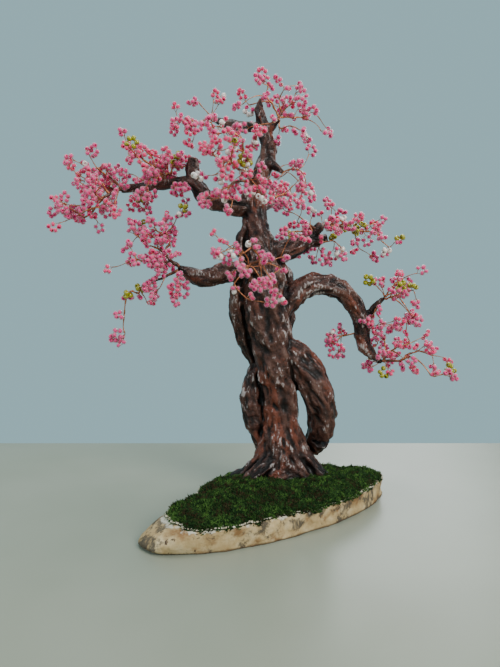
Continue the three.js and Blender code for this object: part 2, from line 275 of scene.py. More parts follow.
def ring_at(points, height, middle, steps):
    """The closed Catmull-Rom curve through the rim of a node at one height, in order round `middle`,
    with `steps` points from each knot to the next. The lid's own middle point is left out."""
    level = points[np.abs(points[:, 2] - height) < 0.05 * MM]
    level = level[np.linalg.norm(level[:, :2] - middle[:2], axis=1) > LID_MIDDLE]
    turn = np.arctan2(level[:, 1] - middle[1], level[:, 0] - middle[0])
    knots = level[np.argsort(turn)]
    t = np.linspace(0.0, 1.0, steps, endpoint=False)[:, None, None]
    before, here, after, beyond = (np.roll(knots, shift, axis=0) for shift in (1, 0, -1, -2))
    curve = 0.5 * (
        2 * here + (after - before) * t + (2 * before - 5 * here + 4 * after - beyond) * t**2
        + (3 * here - before - 3 * after + beyond) * t**3
    )
    return curve.transpose(1, 0, 2).reshape(-1, 3)


def align(ring, other):
    """Turns `ring` round until its steps lie beside those of `other`."""
    start = np.argmin(np.linalg.norm(ring[:, :2] - other[0, :2], axis=1))
    return np.roll(ring, -start, axis=0)


def stacked(rings):
    """Points and faces of the closed surface through a stack of rings, with a pole at both ends."""
    rows, round_count = rings.shape[:2]
    points = np.vstack([rings.reshape(-1, 3), rings[0].mean(0), rings[-1].mean(0)])
    j = np.arange(round_count)
    k = (j + 1) % round_count
    base = (np.arange(rows - 1) * round_count)[:, None]
    quads = np.stack([base + j, base + k, base + k + round_count, base + j + round_count], -1)
    last = (rows - 1) * round_count
    low = np.stack([np.full(round_count, rows * round_count), k, j], 1)
    high = np.stack([np.full(round_count, rows * round_count + 1), last + j, last + k], 1)
    return points, quads.reshape(-1, 4), np.vstack([low, high])


slice_points, _ = node_shape("slice")
slice_top = slice_points[:, 2].max()
slice_middle = slice_points[slice_points[:, 2] < EDGE_SOFT].mean(0) * [1, 1, 0]
ring_low = ring_at(slice_points, 0.0, slice_middle, SLICE_STEPS)
ring_high = align(ring_at(slice_points, slice_top, slice_middle, SLICE_STEPS), ring_low)

up = np.linspace(0.0, 1.0, SLICE_ROWS)
wall = ring_low[None] * (1 - up[:, None, None]) + ring_high[None] * up[:, None, None]
outward = wall - slice_middle
outward[..., 2] = 0.0
outward /= np.linalg.norm(outward, axis=2, keepdims=True)
flat_wall = wall.reshape(-1, 3)
swell = cloud(flat_wall, 11 * MM, 3, seed=3)
scar = cloud(flat_wall * np.array([1.0, 1.0, 0.35]), 2.2 * MM, 3, seed=8)
flake = np.clip(6.0 * (cloud(flat_wall, 5.5 * MM, 3, seed=12) - 0.12), 0.0, 1.0)
relief = BARK_SWELL * swell + BARK_FLAKE * flake - BARK_SCAR * np.clip(scar - 0.75, 0.0, 0.5)
tip_share = np.clip((ring_low[:, 0] - TIP_FROM) / (TIP_TO - TIP_FROM), 0.0, 1.0)
belly = np.outer(TIP_BELLY * 4 * up * (1 - up) - TIP_TUCK * np.exp(-up / 0.12), tip_share)
edge = EDGE_SOFT * (np.exp(-up / 0.06) * 0.6 + np.exp(-(1 - up) / 0.07))
wall += outward * (relief.reshape(SLICE_ROWS, -1) + belly - edge[:, None])[..., None]
shrink = np.array(LID_RINGS)[:, None, None]
bottom = slice_middle + (wall[:1] - slice_middle) * shrink[::-1]
bottom[..., 2] = 0.0
lid = slice_middle + (wall[-1:] - slice_middle) * shrink
lid_grain = cloud(lid.reshape(-1, 3), 2.5 * MM, seed=5).reshape(lid.shape[:2])
lid[..., 2] = slice_top - LID_DROP + LID_ROUGH * lid_grain
slab = add_mesh("birch_slice", *stacked(np.concatenate([bottom, wall, lid])))

birch_paint, place = paint("birch_bark")
blotch = place.noise(110.0, detail=6.0, roughness=0.65)
stain = place.noise(62.0, detail=5.0, roughness=0.6, stretch=(1.0, 1.0, 1.4), turn=(0.0, 0.0, 0.7))
grey = place.noise(78.0, detail=6.0, roughness=0.72, stretch=(1.0, 1.0, 1.1), turn=(0.4, 0.0, 0.2))
streak = place.noise(260.0, detail=4.0, roughness=0.7, stretch=(1.0, 1.0, 0.30), turn=(0.0, 0.45, 0.55))
cream = blotch.ramp((0.32, (0.36, 0.215, 0.090)), (0.5, (0.52, 0.36, 0.175)), (0.68, (0.66, 0.50, 0.29)))
stained = stain.step(0.50, 0.64).between(cream, (0.26, 0.135, 0.052))
greyed = (grey.step(0.50, 0.58) * streak.step(0.30, 0.52) * 0.9).between(stained, (0.062, 0.048, 0.036))
scarred = (streak.step(0.62, 0.68) * blotch.step(0.42, 0.52)).between(greyed, (0.075, 0.042, 0.024))
height_up = place.node("SeparateXYZ", {0: place}, output=2)
torn_top = height_up + 0.003 * (grey - 0.5) + 0.005 * (streak - 0.5)
torn_top = torn_top.step(slice_top - 0.9 * MM, slice_top - 0.2 * MM)
papery = (torn_top * stain.step(0.42, 0.50) * 0.8).between(scarred, (0.64, 0.58, 0.47))
# The lowest millimetre of the bark is darker.
dark_bottom_band = (height_up + 0.0012 * (blotch - 0.5)).step(1.3 * MM, 0.3 * MM) * 0.8
finish_paint(
    birch_paint, place, Base_Color=dark_bottom_band.between(papery, (0.075, 0.040, 0.022)),
    Roughness=0.78, Specular_IOR_Level=0.3, bump=streak * 0.8 + blotch * 0.8, bump_depth=0.45 * MM,
)
slab.data.materials.append(birch_paint)
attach(slab, "root")
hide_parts("slice")

# ---- The moss --------------------------------------------------------------------------------
# Dried green moss glued over the slice's top in a ragged pad, crumbly and darker in its hollows.
# A little white glue and bare wood shows along its rim.
MOSS_RIM = 0.9 * MM
MOSS_RAGGED = 1.9 * MM
MOSS_HUMMOCK = 0.75 * MM
MOSS_GRAIN = 0.55 * MM
GLUE_CRUMBS = 800
CRUMB_SIDES = 6
CRUMB_ROWS = ((0.75, -0.45), (1.0, 0.15), (0.55, 0.6))
MOSS_TUFTS = 9500
MOSS_EDGE_TUFTS = 1500
BLADES = 4
# Each shade of moss: its share of the tufts and its colour.
MOSS_GREENS = {
    "moss_brown": (0.17, (0.040, 0.027, 0.011)),
    "moss_dark": (0.34, (0.010, 0.028, 0.007)),
    "moss_green": (0.34, (0.030, 0.068, 0.014)),
    "moss_light": (0.15, (0.066, 0.135, 0.025)),
}

moss_points, _ = node_shape("moss")
moss_low = moss_points[:, 2].min()
moss_middle = slice_middle + [0, 0, moss_low]
rim_arm = ring_high[::2] - moss_middle
rim_arm[:, 2] = 0.0
rim_length = np.linalg.norm(rim_arm, axis=1, keepdims=True)
ragged = MOSS_RAGGED * cloud(ring_high[::2], 4.5 * MM, 3, seed=21)[:, None]
moss_ring = moss_middle + rim_arm * (1.0 - (MOSS_RIM + ragged) / rim_length)
moss_round = len(moss_ring)
moss_rise = moss_points[:, 2].max() - moss_low


def unit(vectors):
    """The vectors at length 1."""
    return vectors / (np.linalg.norm(vectors, axis=-1, keepdims=True) + 1e-12)


def moss_top(points, inward):
    """Height of the moss: a rounded edge, then a slow swell, with hummocks 7 mm wide and finer grains."""
    edge_rise = 1.0 - np.exp(-inward / 0.035)
    hummocks = MOSS_HUMMOCK * cloud(points * [1, 1, 0], 7 * MM, 2, seed=31)
    grains = MOSS_GRAIN * cloud(points * [1, 1, 0], 2.4 * MM, 2, seed=37)
    swelling = moss_rise * (0.5 + 0.42 * np.clip(inward / 0.5, 0, 1))
    return moss_low + edge_rise * (swelling + hummocks + grains)


inward = np.concatenate([[0.0, 0.004, 0.012, 0.025], np.linspace(0.045, 0.97, 56)])
bed = moss_middle + (moss_ring - moss_middle)[None] * (1.0 - inward[:, None, None])
bed[..., 2] = moss_top(bed.reshape(-1, 3), np.repeat(inward, moss_round)).reshape(bed.shape[:2])
bed_points, bed_quads, bed_caps = stacked(bed)
moss_bed = add_mesh("moss_bed", bed_points, bed_quads, bed_caps)
bed_paint, place = paint("moss_bed_green")
felt = place.noise(700.0, detail=5.0, roughness=0.7)
finish_paint(
    bed_paint, place, Base_Color=felt.ramp(
        (0.35, (0.006, 0.016, 0.004)), (0.6, (0.018, 0.045, 0.010)), (0.75, (0.05, 0.035, 0.015))
    ),
    Roughness=0.95, Specular_IOR_Level=0.1, bump=felt, bump_depth=0.6 * MM,
)
moss_bed.data.materials.append(bed_paint)
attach(moss_bed, "root")
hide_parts("moss")

rng = np.random.default_rng(5)


def blades(foot, lean, length, width, rng):
    """Thin closed spikes: three points round a foot and one at its tip, so four faces each."""
    along = lean / np.linalg.norm(lean, axis=1, keepdims=True)
    side = np.cross(along, rng.normal(size=along.shape))
    side /= np.linalg.norm(side, axis=1, keepdims=True)
    other = np.cross(along, side)
    turns = 2 * np.pi * np.arange(3) / 3
    base = [foot + (side * np.cos(a) + other * np.sin(a)) * width[:, None] for a in turns]
    points = np.stack([*base, foot + along * length[:, None]], 1).reshape(-1, 3)
    face = np.array([[0, 2, 1], [0, 1, 3], [1, 2, 3], [2, 0, 3]])
    return points, (np.arange(len(foot))[:, None, None] * 4 + face).reshape(-1, 3)


def on_rim(step):
    """Points on the moss's rim: each lies between two of its ring's points, `step` of them along."""
    first, share = step.astype(int), (step % 1)[:, None]
    return moss_ring[first] * (1 - share) + moss_ring[(first + 1) % moss_round] * share


deep = 1.0 - np.sqrt(rng.uniform(0.001, 1.0, MOSS_TUFTS))
deep = np.concatenate([deep, rng.uniform(-0.012, 0.02, MOSS_EDGE_TUFTS)])
rim_spot = on_rim(rng.uniform(0, moss_round, len(deep)))
tuft = moss_middle + (rim_spot - moss_middle) * (1.0 - deep)[:, None]
tuft[:, 2] = moss_top(tuft, deep) - 0.25 * MM
rim_out = (rim_spot - moss_middle) / np.linalg.norm(rim_spot - moss_middle, axis=1, keepdims=True)
lean_out = np.exp(-deep / 0.02)[:, None] * rim_out * 1.1
shade_of = rng.random(len(tuft)) + 0.50 * cloud(tuft * [1, 1, 0], 4 * MM, 3, seed=41)
rank = np.argsort(np.argsort(shade_of)) / len(shade_of)
share_below = 0.0
for shade, (share, colour) in MOSS_GREENS.items():
    chosen = (rank >= share_below) & (rank < share_below + share)
    share_below += share
    foot = np.repeat(tuft[chosen], BLADES, axis=0)
    lean = rng.normal(size=foot.shape) * [0.75, 0.75, 0.45] + [0, 0, 0.55]
    lean += np.repeat(lean_out[chosen], BLADES, axis=0)
    foot = foot + rng.normal(size=foot.shape) * 0.35 * MM
    foot[:, 2] = np.maximum(foot[:, 2], slice_top * 0.9)
    length = rng.uniform(0.8, 1.7, len(foot)) * MM
    width = rng.uniform(0.2, 0.36, len(foot)) * MM
    moss_mesh = add_mesh(shade, *blades(foot, lean, length, width, rng), smooth=False)
    shade_paint, place = paint(shade)
    finish_paint(shade_paint, place, Base_Color=colour, Roughness=0.9, Specular_IOR_Level=0.15)
    moss_mesh.data.materials.append(shade_paint)
    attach(moss_mesh, "root")

# Crumbs of dried white glue and torn bark along the moss's edge: lumpy six-sided beads, pressed flat.
# They are larger where a slow noise is high, and on the tip.
crumb_rng = np.random.default_rng(15)
crumb_spot = on_rim(crumb_rng.uniform(0, moss_round, GLUE_CRUMBS))
crumb_out = unit(crumb_spot - moss_middle)
crumb_spot = crumb_spot + crumb_out * crumb_rng.uniform(-0.4, 1.3, (GLUE_CRUMBS, 1)) * MM
crumb_swell = 0.35 + 1.2 * lattice(crumb_spot, 12 * MM, 4) + 0.6 * (crumb_spot[:, 0] < TIP_FROM)
crumb_size = crumb_rng.gamma(2.0, 0.14, GLUE_CRUMBS) * np.clip(crumb_swell, 0.0, 1.25)
crumb_size = (crumb_size + 0.10) * MM
turns = 2 * np.pi * np.arange(CRUMB_SIDES) / CRUMB_SIDES
crumb_ring = np.stack([
    np.stack([reach * np.cos(turns), reach * np.sin(turns), np.full(CRUMB_SIDES, rise)], 1)
    for reach, rise in CRUMB_ROWS
])
uneven = crumb_rng.uniform(0.65, 1.35, (GLUE_CRUMBS, len(CRUMB_ROWS), CRUMB_SIDES, 1))
crumb_points = crumb_ring[None] * uneven * crumb_size[:, None, None, None] * [1.0, 1.0, 0.8]
crumb_points += crumb_spot[:, None, None] + [0, 0, 0.25 * MM]
crumb_shell = np.concatenate([
    crumb_points.reshape(GLUE_CRUMBS, -1, 3), crumb_points[:, :1].mean(2), crumb_points[:, -1:].mean(2)
], axis=1)
_, crumb_quads, crumb_caps = stacked(crumb_ring)
crumb_start = (np.arange(GLUE_CRUMBS) * crumb_shell.shape[1])[:, None, None]
crumbs = add_mesh(
    "glue_crumbs", crumb_shell.reshape(-1, 3), (crumb_start + crumb_quads).reshape(-1, 4),
    (crumb_start + crumb_caps).reshape(-1, 3),
)
crumb_paint, place = paint("dried_glue")
milky = place.noise(500.0, detail=3.0)
finish_paint(
    crumb_paint, place, Base_Color=milky.ramp((0.35, (0.42, 0.34, 0.22)), (0.65, (0.66, 0.59, 0.46))),
    Roughness=0.6, Specular_IOR_Level=0.35,
)
crumbs.data.materials.append(crumb_paint)
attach(crumbs, "root")

# ---- The trunk and boughs --------------------------------------------------------------------
# Wires bundled and twisted into a trunk, boughs and looping roots, then coated in plaster paste that
# is drawn lengthways into ridges. It is painted dark brown with rusty streaks, its ridges are
# brushed with a chalky grey, and all of it is varnished.
PASTE_OVERLAP = 0.3 * MM
PASTE_VOXEL = 0.58 * MM
RELAX_ROUNDS = 16
AXIS_ROUNDS = 104
TWIST = math.radians(7)
RIDGE_DEEP = 0.95 * MM
CREASE_DEEP = 0.74 * MM
SCALE_DEEP = 0.55 * MM
LUMP_HIGH = 0.5 * MM
HOLLOW_ROUNDS = 26
HOLLOW_FULL = 0.6 * MM
HOLLOW_DEEP = 0.8 * MM
RUSTY_STRAND = -7.5 * MM
RUSTY_WIDE = 5.0 * MM
RUSTY_TOP = 92 * MM
FOOT_SHADE_RISE = 15 * MM

limb_names = [
    part["node"] for part in frame["record"]["subparts"] if part["material_slot"] == "painted_bark"
]


def joined_limbs():
    """All limbs as one set of points and triangles, each grown a little so that they meet."""
    points, triangles = [], []
    for name in limb_names:
        own, faces = node_shape(name)
        crossed = np.cross(own[faces[:, 1]] - own[faces[:, 0]], own[faces[:, 2]] - own[faces[:, 0]])
        normal = np.zeros_like(own)
        for corner in range(3):
            np.add.at(normal, faces[:, corner], crossed)
        normal /= np.linalg.norm(normal, axis=1, keepdims=True) + 1e-12
        triangles.append(faces + sum(len(done) for done in points))
        points.append(own + normal * PASTE_OVERLAP)
    return np.vstack(points), np.vstack(triangles)


def remeshed(points, triangles, voxel):
    """The outer surface of overlapping solids as one even mesh of quads about `voxel` wide."""
    rough = add_mesh("rough_limbs", points, triangles)
    remesh = rough.modifiers.new("voxels", "REMESH")
    remesh.mode = "VOXEL"
    remesh.voxel_size = voxel
    even = rough.evaluated_get(bpy.context.evaluated_depsgraph_get()).to_mesh()
    spots = np.empty(len(even.vertices) * 3, dtype=np.float32)
    even.vertices.foreach_get("co", spots)
    corners = np.empty(len(even.polygons) * 4, dtype=np.int32)
    even.polygons.foreach_get("vertices", corners)
    bpy.data.objects.remove(rough)
    return spots.reshape(-1, 3).astype(float), corners.reshape(-1, 4)


class Skin:
    """A quad mesh's points with their neighbours along edges and across quads, for smoothing."""

    def __init__(self, points, quads):
        self.points = points
        self.quads = quads
        pairs = [[0, 1], [1, 2], [2, 3], [3, 0], [0, 2], [1, 3]]
        sides = np.vstack([quads[:, pair] for pair in pairs])
        sides = np.unique(np.sort(sides, axis=1), axis=0)
        self.start = np.concatenate([sides[:, 0], sides[:, 1]])
        self.end = np.concatenate([sides[:, 1], sides[:, 0]])

    def spread(self, values, weight=None):
        """Each point's weighted mean of its neighbours' values."""
        weight = np.ones(len(self.start)) if weight is None else weight
        total = np.bincount(self.start, weight, len(self.points)) + 1e-12
        columns = values.reshape(len(values), -1)
        means = [
            np.bincount(self.start, weight * column[self.end], len(self.points)) for column in columns.T
        ]
        return (np.stack(means, 1) / total[:, None]).reshape(values.shape)

    def normals(self):
        """Unit normals, from the cross product of each quad's diagonals."""
        corner = self.points[self.quads]
        crossed = np.cross(corner[:, 2] - corner[:, 0], corner[:, 3] - corner[:, 1])
        total = [
            sum(np.bincount(self.quads[:, k], crossed[:, axis], len(self.points)) for k in range(4))
            for axis in range(3)
        ]
        normal = np.stack(total, 1)
        return normal / (np.linalg.norm(normal, axis=1, keepdims=True) + 1e-12)

    def relax(self, rounds, pull=0.6, push=-0.62):
        """Smooths without shrinking: a pull to the neighbours' mean, then a slightly longer push."""
        for _ in range(rounds):
            for amount in (pull, push):
                self.points = self.points + amount * (self.spread(self.points) - self.points)


limb_skin = Skin(*remeshed(*joined_limbs(), PASTE_VOXEL))
limb_skin.relax(RELAX_ROUNDS)
limb_normal = limb_skin.normals()

# A limb's own direction is the one that the normals round it vary least in: the smallest axis of
# their averaged outer products. Thick limbs keep a long mean normal, thin ones a short one.
outer = (limb_normal[:, :, None] * limb_normal[:, None, :]).reshape(-1, 9)[:, [0, 1, 2, 4, 5, 8]]
mean_normal = limb_normal
for _ in range(AXIS_ROUNDS):
    outer = limb_skin.spread(outer)
    mean_normal = limb_skin.spread(mean_normal)
_, axes = np.linalg.eigh(outer[:, [0, 1, 2, 1, 3, 4, 2, 4, 5]].reshape(-1, 3, 3))
limb_axis = axes[:, :, 0]
limb_axis -= limb_normal * (limb_axis * limb_normal).sum(1, keepdims=True)
limb_axis /= np.linalg.norm(limb_axis, axis=1, keepdims=True) + 1e-12
limb_axis = limb_axis * math.cos(TWIST) + np.cross(limb_normal, limb_axis) * math.sin(TWIST)
thick = np.clip(np.linalg.norm(mean_normal, axis=1), 0.0, 1.0)

arm = limb_skin.points[limb_skin.end] - limb_skin.points[limb_skin.start]
arm /= np.linalg.norm(arm, axis=1, keepdims=True) + 1e-12
along_weight = np.abs((arm * limb_axis[limb_skin.start]).sum(1)) ** 9

# Where strands meet, the mean of the places around a point lies outside the surface. Those hollows are
# pressed deeper, and painted shade darkens them.
settled = limb_skin.points
for _ in range(HOLLOW_ROUNDS):
    settled = limb_skin.spread(settled)
hollow = np.clip(((settled - limb_skin.points) * limb_normal).sum(1) / HOLLOW_FULL, 0.0, 1.0)


def drawn_out(size, rounds, seed, evened=0):
    """A cloud of bumps `size` wide, drawn out lengthways by weighted spreading, with mean 0 and
    spread 1."""
    values = lattice(limb_skin.points, size, seed) + 0.4 * lattice(limb_skin.points, size / 2, seed + 1)
    for _ in range(rounds):
        values = limb_skin.spread(values, along_weight)
    for _ in range(evened):
        values = limb_skin.spread(values)
    return (values - values.mean()) / values.std()


ridges = drawn_out(3.8 * MM, 96, 61, evened=1)
folds = drawn_out(2.0 * MM, 37, 67)
creases = drawn_out(1.3 * MM, 14, 71)
scales = drawn_out(1.2 * MM, 5, 73)
lumps = cloud(limb_skin.points, 9 * MM, 2, seed=77)
ridge_height = 1.0 - np.abs(np.tanh(0.9 * ridges)) * 1.5
fold_height = np.tanh(folds)
crease_height = 0.5 - np.abs(np.tanh(0.8 * creases))
height = RIDGE_DEEP * (0.55 * ridge_height + 0.45 * fold_height)
height += CREASE_DEEP * crease_height + SCALE_DEEP * np.tanh(scales)
strength = 0.25 + 0.75 * thick**1.2
limb_skin.points = limb_skin.points + limb_normal * (
    strength * (height + LUMP_HIGH * lumps) - PASTE_OVERLAP * 0.7 - HOLLOW_DEEP * hollow
)[:, None]
limb_skin.points[:, 2] = np.maximum(limb_skin.points[:, 2], slice_top)
bark = add_mesh("bark", limb_skin.points, limb_skin.quads)

# The middle strand of the trunk is rubbed with the most rust, and painted shade darkens the foot above the
# moss.
rusty_strand = np.exp(-((limb_skin.points[:, 0] - RUSTY_STRAND) / RUSTY_WIDE) ** 2)
rusty_strand *= np.clip(4.0 * (1.0 - limb_skin.points[:, 2] / RUSTY_TOP), 0.0, 1.0)
foot_shade = np.clip(1.0 - (limb_skin.points[:, 2] - slice_top) / FOOT_SHADE_RISE, 0.0, 1.0)
crest_height = 0.5 * ridge_height + 0.6 * fold_height + 2.0 * crease_height + 1.1 * np.tanh(scales)
# The crest tone is the ridges' height less painted shade in the hollows and at the foot; the foot's
# painted shade also holds back the rust.
tones = {
    "crest_and_shade": 0.5 + 0.13 * crest_height - 0.30 * hollow - 0.20 * foot_shade,
    "rust": 0.5 + 0.15 * drawn_out(2.6 * MM, 46, 83) + 0.08 * rusty_strand - 0.16 * foot_shade,
    "rubbed": rusty_strand,
    "chalk": 0.5 + 0.15 * drawn_out(1.1 * MM, 6, 89),
    "soot": 0.5 + 0.15 * drawn_out(1.9 * MM, 20, 97),
}
for tone, values in tones.items():
    bark.data.attributes.new(tone, "FLOAT", "POINT").data.foreach_set("value", values.astype(np.float32))

bark_paint, place = paint("painted_bark")
crest_and_shade, rust, rubbed, chalk, soot = [
    place.node("Attribute", {}, output="Fac", attribute_name=tone) for tone in tones
]
patch = place.noise(42.0, detail=3.0, roughness=0.6, turn=(0.5, 0.2, 1.1))
grain = place.noise(1100.0, detail=3.0, roughness=0.7)
grit = place.noise(480.0, detail=5.0, roughness=0.65)
fleck = place.noise(900.0, detail=3.0, roughness=0.6, stretch=(1.0, 1.0, 0.42))
# The brown is darkest where the crest tone is low, in the ridges' lows and in the painted shade.
brown = (crest_and_shade + 0.25 * (grain - 0.5) + 0.55 * (grit - 0.5) + 0.30 * (soot - 0.5)).ramp(
    (0.28, (0.0065, 0.0030, 0.0024)), (0.44, (0.033, 0.0125, 0.0085)), (0.60, (0.080, 0.030, 0.0205)),
    (0.82, (0.145, 0.070, 0.051)),
)
rust_streaks = (rust + 0.4 * (grit - 0.5)).step(0.50, 0.68)
rust_patches = (patch + 0.25 * rubbed).step(0.42, 0.56)
rusty = (rust_streaks * rust_patches * crest_and_shade.step(0.32, 0.5) * 0.8).between(brown, (0.190, 0.047, 0.024))
brushed = (0.45 * chalk + 0.45 * crest_and_shade + 1.1 * (fleck - 0.5) + 0.4 * (patch - 0.5)).step(0.590, 0.720)
chalky = (brushed * crest_and_shade.step(0.40, 0.55) * 0.72).between(rusty, (0.50, 0.43, 0.41))
finish_paint(
    bark_paint, place, Base_Color=chalky, Roughness=0.40 + 0.25 * chalk.step(0.5, 0.8),
    Specular_IOR_Level=0.24, Coat_Weight=0.13, Coat_Roughness=0.14,
    bump=grit * 1.2 + grain * 0.4 + chalk * 0.8, bump_depth=0.8 * MM,
)
bark.data.materials.append(bark_paint)
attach(bark, "root")
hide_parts(*limb_names)

# ---- The copper stems ------------------------------------------------------------------------
# Each blossom is a loop of beads on thin copper wire. The wire's ends are twisted into a stem, the
# stems of neighbours are twisted together, and the thick bundle runs into the tip of a limb.
from mathutils import Vector
from mathutils.bvhtree import BVHTree

# Each spray: the limb that carries it, its blossoms' least spacing in millimetres, and its masses.
SPRAYS = {
    "blossom_crown": ("fork_right", 4.45, ["blossom_crown"]),
    "blossom_top_left": ("dead_branch", 3.3, ["blossom_top_left"]),
    "blossom_centre": ("front_stub_upper", 4.4, ["blossom_centre", "blossom_centre_hanging"]),
    "blossom_right_upper": ("stub_right", 8.6, ["blossom_right_upper"]),
    "blossom_left_inner": ("bough_upper_left_tip", 2.68, ["blossom_left_inner"]),
    "blossom_left_outer": ("bough_upper_left_tip", 3.35, ["blossom_left_outer"]),
    "blossom_left_hanging": ("bough_upper_left_tip", 3.46, ["blossom_left_hanging"]),
    "blossom_lower_left": (
        "bough_lower_left", 3.17,
        ["blossom_lower_left", "blossom_lower_left_high", "blossom_lower_left_tail"],
    ),
    "blossom_front": ("front_stub_lower", 6.4, ["blossom_front"]),
    "blossom_right_mid": ("bough_right_upper_tip", 4.25, ["blossom_right_mid", "blossom_right_end"]),
    "blossom_arch_upper": ("arch_twig", 3.8, ["blossom_arch_upper"]),
    "blossom_arch_inner": ("arch_fall", 3.26, ["blossom_arch_inner"]),
    "blossom_arch_end": ("arch_fall", 5.0, ["blossom_arch_end"]),
    "blossom_back_upper": ("back_bough_upper", 4.5, ["blossom_back_upper"]),
    "blossom_back_lower": ("back_bough_lower", 4.4, ["blossom_back_lower"]),
}
INSET = 2.3 * MM
TIP_PULL = 2.4 * MM
TRIES = 1800
TRIES_VOLUME = 6e-6
LEAST_TRIES = 400
FORKING = 0.4
SEED_PULL = 0.6
STEM_RADIUS = 0.20 * MM
STEM_GROWTH = 0.41
STEM_STEPS = 8
STEM_SIDES = 6
BOUND_FROM = 9
BOUND_SIDES = 8
SECOND_LOOPS = 0.4
BARE = BVHTree.FromPolygons(*[shape.tolist() for shape in node_shape("dead_branch")])
BARE_ROOM = 8.5 * MM


def anchors(names, spacing, rng):
    """Random places inside these masses, thinner near the surface: each lies at least a random share
    of INSET below it, and none is nearer than `spacing` to another or BARE_ROOM to the dead branch.
    Blossoms sit there."""
    kept = np.empty((0, 3))
    for name in names:
        points, triangles = node_shape(name)
        surface = BVHTree.FromPolygons(points.tolist(), triangles.tolist())
        size = np.ptp(points, axis=0)
        tries = int(TRIES * size.prod() / TRIES_VOLUME) + LEAST_TRIES
        for spot in rng.uniform(points.min(0), points.max(0), (tries, 3)):
            near, normal, _, depth = surface.find_nearest(spot)
            if depth < INSET * rng.uniform(0.4, 1.5) or (Vector(spot) - near).dot(normal) > 0:
                continue
            if BARE.find_nearest(spot)[3] < BARE_ROOM:
                continue
            if not len(kept) or np.linalg.norm(kept - spot, axis=1).min() > spacing:
                kept = np.vstack([kept, spot])
    return kept


def branch(spots, seeds, seed_cost):
    """Joins the spots into a tree, nearest first. A spot's cost is its distance to the tree plus
    FORKING times the way from there to the limb, so stems fork early and stay fairly straight.
    Gives each spot's parent: a spot's index, or -1 - k for seed k."""
    from_seed = np.linalg.norm(spots[:, None] - seeds[None], axis=2)
    parent = -1 - np.argmin(from_seed + seed_cost, axis=1)
    reach = from_seed[np.arange(len(spots)), -1 - parent]
    cost = (from_seed + seed_cost).min(1)
    way = np.full(len(spots), np.inf)
    order = []
    while len(order) < len(spots):
        open_cost = np.where(np.isinf(way), cost, np.inf)
        new = int(np.argmin(open_cost))
        order.append(new)
        way[new] = reach[new] + (way[parent[new]] if parent[new] >= 0 else 0.0)
        gap = np.linalg.norm(spots - spots[new], axis=1)
        better = np.isinf(way) & (gap + FORKING * way[new] < cost)
        parent[better] = new
        reach[better] = gap[better]
        cost[better] = gap[better] + FORKING * way[new]
    return parent, order


stems = {"start": [], "end": [], "leave": [], "arrive": [], "load": []}
blossoms = {"spot": [], "toward": [], "spray": []}
for number, (spray, (limb, spacing, masses)) in enumerate(SPRAYS.items()):
    rng = np.random.default_rng(100 + number)
    spots = anchors(masses, spacing * MM, rng)
    limb_points, _ = node_shape(limb)
    middle = node_shape(masses[0])[0].mean(0)
    tip = limb_points[np.argmin(np.linalg.norm(limb_points - middle, axis=1))]
    near_tip = np.argsort(np.linalg.norm(limb_points - tip, axis=1))
    tip = limb_points[near_tip[:5]].mean(0)
    seeds = np.vstack([tip, limb_points[near_tip[5::3]] * 0.75 + tip * 0.25])
    seed_cost = SEED_PULL * np.linalg.norm(seeds - tip, axis=1)
    parent, order = branch(spots, seeds, seed_cost)
    load = np.ones(len(spots))
    for index in reversed(order):
        if parent[index] >= 0:
            load[parent[index]] += load[index]
    below = np.where(parent[:, None] >= 0, spots[parent], seeds[-1 - np.minimum(parent, -1)])
    toward = unit(spots - below)
    last_pull = np.minimum(0.55 * np.linalg.norm(spots - below, axis=1), TIP_PULL)
    spots = spots - toward * np.where(load > 1, 0.0, last_pull)[:, None]
    inner = unit(below - tip + 1e-6)
    came = np.where(parent[:, None] >= 0, toward[parent], inner)
    stems["start"].append(below)
    stems["end"].append(spots)
    stems["leave"].append(unit(came + 0.7 * toward))
    stems["arrive"].append(unit(toward + 0.25 * rng.normal(size=toward.shape)))
    stems["load"].append(load)
    fork = load > 1
    aside = np.cross(toward, rng.normal(size=toward.shape))
    face = unit(np.where(fork[:, None], unit(aside) + 0.35 * toward, toward + 0.3 * unit(aside)))
    blossoms["spot"].append(spots)
    blossoms["toward"].append(face)
    blossoms["spray"].append(np.full(len(spots), number))
    ends = ~fork & (rng.random(len(spots)) < SECOND_LOOPS)
    blossoms["spot"].append(spots[ends])
    blossoms["toward"].append(unit(unit(aside[ends]) + 0.3 * toward[ends]))
    blossoms["spray"].append(np.full(ends.sum(), number))
stems = {key: np.concatenate(value) for key, value in stems.items()}
blossoms = {key: np.concatenate(value) for key, value in blossoms.items()}


def across(along):
    """Two unit vectors square to each of these and to each other."""
    helper = np.where(np.abs(along[..., 2:]) < 0.8, [0.0, 0.0, 1.0], [1.0, 0.0, 0.0])
    side = unit(np.cross(along, helper))
    return side, np.cross(along, side)


def tubes(paths, radius, sides, twist=0.0, strands=0.0):
    """Closed tubes along many paths of equally many steps. The section is a ring whose radius swells
    twice round it by `strands` and turns by `twist` from end to end, as two twisted wires do."""
    count, steps = paths.shape[:2]
    along = unit(np.gradient(paths, axis=1))
    side, other = across(along)
    round_it = 2 * np.pi * np.arange(sides) / sides
    turned = round_it[None] + twist * np.linspace(0, 1, steps)[:, None]
    swell = 1.0 + strands * np.cos(2 * round_it)
    arm = side[:, :, None] * np.cos(turned)[None, :, :, None]
    arm = arm + other[:, :, None] * np.sin(turned)[None, :, :, None]
    rings = paths[:, :, None] + arm * (radius[:, :, None] * swell)[..., None]
    points = np.concatenate([rings.reshape(count, -1, 3), paths[:, :1], paths[:, -1:]], axis=1)
    _, quads, caps = stacked(np.zeros((steps, sides, 3)))
    offset = (np.arange(count) * points.shape[1])[:, None, None]
    return points.reshape(-1, 3), (offset + quads).reshape(-1, 4), (offset + caps).reshape(-1, 3)


